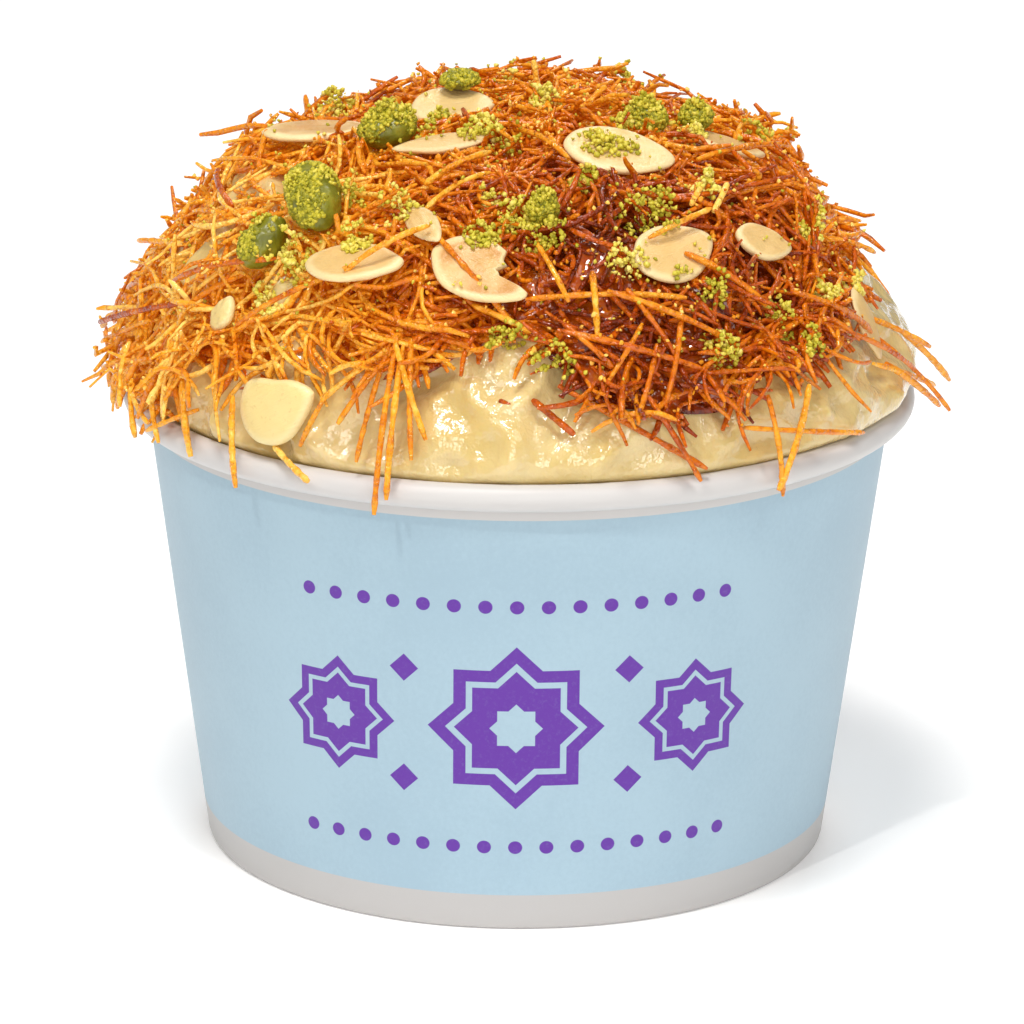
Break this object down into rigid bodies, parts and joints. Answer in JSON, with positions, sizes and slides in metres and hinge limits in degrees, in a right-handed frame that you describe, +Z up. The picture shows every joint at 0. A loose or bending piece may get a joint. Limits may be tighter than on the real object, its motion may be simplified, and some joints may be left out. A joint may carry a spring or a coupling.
{
  "type": "kunafa dessert in a paper tub",
  "caption": "Tub of kunafa: cream heaped above the rim under fried pastry shreds, topped with almond flakes and pistachio.",
  "frame": {"origin": "middle of the ring that the tub stands on", "axes": "+Z up out of the tub; +X to the right and -Y towards the viewer of the picture"},
  "size_m": [0.1243, 0.115, 0.1145],
  "materials": {
    "board": "satin coated paper board, white with a pale blue print",
    "cream": "wet, soft clotted cream",
    "shreds": "fried pastry shreds glazed with syrup",
    "almond": "smooth blanched almond",
    "pistachio": "rough ground pistachio"
  },
  "bodies": {
    "root": {"tub_wall": "board", "tub_bottom": "board", "cream": "cream", "kataifi_heap": "shreds", "almond_left_rim": "almond", "almond_crown": "almond", "almond_sliver": "almond", "almond_right_crown": "almond", "almond_right_edge_on": "almond", "almond_front_left": "almond", "almond_broken": "almond", "almond_splinter": "almond", "almond_round": "almond", "almond_small": "almond", "almond_on_cream": "almond", "almond_thick": "almond", "almond_bit": "almond", "almond_back": "almond", "almond_back_left": "almond", "pistachio_large": "pistachio", "pistachio_left": "pistachio", "pistachio_chunk": "pistachio", "pistachio_crown": "pistachio", "pistachio_right": "pistachio", "pistachio_right_bit": "pistachio", "pistachio_bit": "pistachio", "pistachio_back": "pistachio"}
  },
  "joints": []
}
